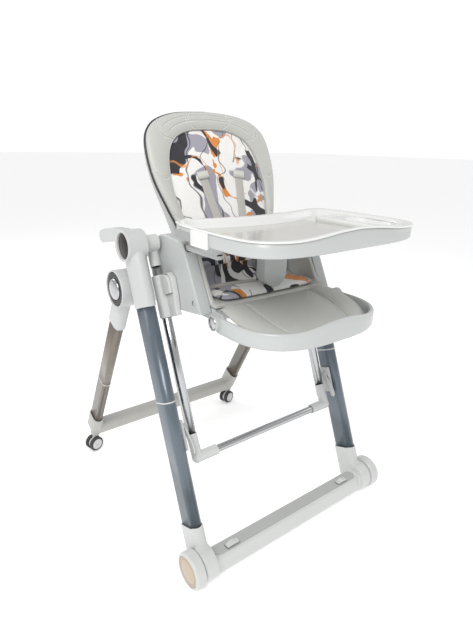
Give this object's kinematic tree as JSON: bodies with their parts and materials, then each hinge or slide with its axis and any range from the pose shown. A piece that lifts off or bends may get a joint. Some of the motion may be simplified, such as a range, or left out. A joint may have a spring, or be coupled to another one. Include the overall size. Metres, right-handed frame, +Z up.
{
  "type": "baby high chair",
  "caption": "Folding baby high chair: oval-tube leg frames, height-sliding reclining seat, tilting footrest, sliding tray with lift-out insert, wheels and casters.",
  "frame": {"origin": "on the floor under the middle of the chair's footprint box", "axes": "+X to the right as seen from the front, -Y the way the child faces, +Z up"},
  "size_m": [0.622, 0.7944, 1.0216],
  "materials": {
    "white_plastic": "smooth satin moulded plastic",
    "housing_plastic": "satin moulded plastic",
    "grey_plastic": "glossy light grey moulded plastic",
    "dark_grey_plastic": "fine textured grey plastic",
    "taupe_plastic": "satin warm grey plastic",
    "blue_grey_paint": "satin metallic blue-grey powder coat",
    "champagne_paint": "satin metallic champagne paint",
    "chrome": "polished chrome plate",
    "dark_mirror": "dark mirrored plated plastic",
    "tan_cap": "tan painted cap with turned rings",
    "tyre": "dark grey soft tyre",
    "cover_leather": "light grey coated fabric with stitching",
    "printed_cloth": "printed woven cushion cloth",
    "webbing": "woven strap webbing",
    "ivory_plastic": "glossy off-white moulded plastic"
  },
  "bodies": {
    "front_frame": {"front_base": "white_plastic", "tread_strip": "dark_grey_plastic", "front_leg_left": "blue_grey_paint", "front_leg_right": "blue_grey_paint", "top_housing_left": "housing_plastic", "top_housing_right": "housing_plastic", "pivot_cover_left": "dark_mirror", "pivot_cover_right": "dark_mirror", "clip_bracket_left": "white_plastic", "clip_bracket_right": "white_plastic"},
    "rear_frame": {"rear_base": "taupe_plastic", "rear_leg_left": "champagne_paint", "rear_leg_right": "champagne_paint", "rear_housing_left": "housing_plastic", "rear_housing_right": "housing_plastic"},
    "inner_frame": {"inner_crossbar": "chrome", "inner_tube_left": "chrome", "inner_tube_right": "chrome", "inner_elbow_left": "white_plastic", "inner_elbow_right": "white_plastic", "inner_cap_left": "white_plastic", "inner_cap_right": "white_plastic"},
    "seat": {"seat_pan": "grey_plastic", "seat_cover": "printed_cloth", "buckle": "dark_grey_plastic", "arm_left": "grey_plastic", "arm_right": "grey_plastic", "slider_left": "white_plastic", "slider_right": "white_plastic"},
    "backrest": {"back_shell": "grey_plastic", "back_cover": "cover_leather", "back_insert": "printed_cloth", "shoulder_strap_left": "webbing", "shoulder_strap_right": "webbing"},
    "recline_lever": {"recline_lever": "dark_grey_plastic"},
    "footrest": {"footrest_frame": "grey_plastic", "legrest_pad": "cover_leather"},
    "tray": {"tray_body": "grey_plastic", "crotch_post": "grey_plastic"},
    "tray_insert": {"tray_insert": "ivory_plastic"},
    "front_wheel_left": {"front_wheel_left": "white_plastic", "wheel_cap_left": "tan_cap"},
    "brake_pedal_left": {"brake_pedal_left": "white_plastic"},
    "clip_lever_left": {"clip_lever_left": "white_plastic"},
    "fold_button_left": {"fold_button_left": "chrome"},
    "caster_fork_left": {"caster_fork_left": "white_plastic"},
    "caster_wheels_left": {"caster_wheels_left": "tyre"},
    "height_button_left": {"height_button_left": "white_plastic"},
    "footrest_button_left": {"footrest_button_left": "chrome"},
    "tray_button_left": {"tray_button_left": "dark_grey_plastic"},
    "front_wheel_right": {"front_wheel_right": "white_plastic", "wheel_cap_right": "tan_cap"},
    "brake_pedal_right": {"brake_pedal_right": "white_plastic"},
    "clip_lever_right": {"clip_lever_right": "white_plastic"},
    "fold_button_right": {"fold_button_right": "chrome"},
    "caster_fork_right": {"caster_fork_right": "white_plastic"},
    "caster_wheels_right": {"caster_wheels_right": "tyre"},
    "height_button_right": {"height_button_right": "white_plastic"},
    "footrest_button_right": {"footrest_button_right": "chrome"},
    "tray_button_right": {"tray_button_right": "dark_grey_plastic"}
  },
  "joints": [
    {"name": "rear_frame_fold", "type": "hinge", "parent": "front_frame", "child": "rear_frame", "pos_m": [0, 0.07083, 0.613], "axis": [1, 0, 0], "range_deg": [-46, 0]},
    {"name": "inner_frame_swing", "type": "hinge", "parent": "front_frame", "child": "inner_frame", "pos_m": [0, 0.02283, 0.723], "axis": [1, 0, 0], "range_deg": [-12, 0]},
    {"name": "seat_height", "type": "slide", "parent": "inner_frame", "child": "seat", "axis": [0, -0.3591, -0.9333], "range_m": [0, 0.215]},
    {"name": "backrest_recline", "type": "hinge", "parent": "seat", "child": "backrest", "pos_m": [0, -0.02317, 0.606], "axis": [1, 0, 0], "range_deg": [-40, 0]},
    {"name": "recline_lever_pull", "type": "hinge", "parent": "backrest", "child": "recline_lever", "pos_m": [0, 0.14323, 0.9136], "axis": [1, 0, 0], "range_deg": [0, 15], "stiffness_Nm_per_rad": 0.3, "springref_deg": -5.73},
    {"name": "footrest_tilt", "type": "hinge", "parent": "seat", "child": "footrest", "pos_m": [0, -0.18917, 0.585], "axis": [1, 0, 0], "range_deg": [0, 80]},
    {"name": "tray_slide", "type": "slide", "parent": "seat", "child": "tray", "axis": [0, -1, 0], "range_m": [0, 0.07]},
    {"name": "tray_insert_lift", "type": "slide", "parent": "tray", "child": "tray_insert", "axis": [0, 0, 1], "range_m": [0, 0.06]},
    {"name": "front_wheel_roll_left", "type": "hinge", "parent": "front_frame", "child": "front_wheel_left", "pos_m": [-0.297, -0.26117, 0.043], "axis": [1, 0, 0], "continuous": true},
    {"name": "brake_pedal_press_left", "type": "hinge", "parent": "front_frame", "child": "brake_pedal_left", "pos_m": [-0.19, -0.26617, 0.058], "axis": [0, -1, 0], "range_deg": [0, 9], "stiffness_Nm_per_rad": 0.05, "springref_deg": -2.86},
    {"name": "clip_lever_flip_left", "type": "hinge", "parent": "front_frame", "child": "clip_lever_left", "pos_m": [-0.234, -0.12891, 0.322], "axis": [1, 0, 0], "range_deg": [-90, 0]},
    {"name": "fold_button_press_left", "type": "slide", "parent": "rear_frame", "child": "fold_button_left", "axis": [1, 0, 0], "range_m": [0, 0.004], "stiffness_N_per_m": 400, "springref_m": -0.002},
    {"name": "caster_swivel_left", "type": "hinge", "parent": "rear_frame", "child": "caster_fork_left", "pos_m": [-0.265, 0.36783, 0.05], "axis": [0, 0, 1], "continuous": true},
    {"name": "caster_roll_left", "type": "hinge", "parent": "caster_fork_left", "child": "caster_wheels_left", "pos_m": [-0.27179, 0.36614, 0.023], "axis": [-0.2419, 0.9703, 0], "continuous": true},
    {"name": "height_button_press_left", "type": "slide", "parent": "seat", "child": "height_button_left", "axis": [1, 0, 0], "range_m": [0, 0.003], "stiffness_N_per_m": 400, "springref_m": -0.002},
    {"name": "footrest_button_press_left", "type": "slide", "parent": "footrest", "child": "footrest_button_left", "axis": [1, 0, 0], "range_m": [0, 0.003], "stiffness_N_per_m": 400, "springref_m": -0.002},
    {"name": "tray_button_press_left", "type": "slide", "parent": "tray", "child": "tray_button_left", "axis": [1, 0, 0], "range_m": [0, 0.004], "stiffness_N_per_m": 400, "springref_m": -0.002},
    {"name": "front_wheel_roll_right", "type": "hinge", "parent": "front_frame", "child": "front_wheel_right", "pos_m": [0.297, -0.26117, 0.043], "axis": [1, 0, 0], "continuous": true},
    {"name": "brake_pedal_press_right", "type": "hinge", "parent": "front_frame", "child": "brake_pedal_right", "pos_m": [0.19, -0.26617, 0.058], "axis": [0, 1, 0], "range_deg": [0, 9], "stiffness_Nm_per_rad": 0.05, "springref_deg": -2.86},
    {"name": "clip_lever_flip_right", "type": "hinge", "parent": "front_frame", "child": "clip_lever_right", "pos_m": [0.234, -0.12891, 0.322], "axis": [1, 0, 0], "range_deg": [-90, 0]},
    {"name": "fold_button_press_right", "type": "slide", "parent": "rear_frame", "child": "fold_button_right", "axis": [-1, 0, 0], "range_m": [0, 0.004], "stiffness_N_per_m": 400, "springref_m": -0.002},
    {"name": "caster_swivel_right", "type": "hinge", "parent": "rear_frame", "child": "caster_fork_right", "pos_m": [0.265, 0.36783, 0.05], "axis": [0, 0, 1], "continuous": true},
    {"name": "caster_roll_right", "type": "hinge", "parent": "caster_fork_right", "child": "caster_wheels_right", "pos_m": [0.25821, 0.36614, 0.023], "axis": [-0.2419, 0.9703, 0], "continuous": true},
    {"name": "height_button_press_right", "type": "slide", "parent": "seat", "child": "height_button_right", "axis": [-1, 0, 0], "range_m": [0, 0.003], "stiffness_N_per_m": 400, "springref_m": -0.002},
    {"name": "footrest_button_press_right", "type": "slide", "parent": "footrest", "child": "footrest_button_right", "axis": [-1, 0, 0], "range_m": [0, 0.003], "stiffness_N_per_m": 400, "springref_m": -0.002},
    {"name": "tray_button_press_right", "type": "slide", "parent": "tray", "child": "tray_button_right", "axis": [-1, 0, 0], "range_m": [0, 0.004], "stiffness_N_per_m": 400, "springref_m": -0.002}
  ]
}
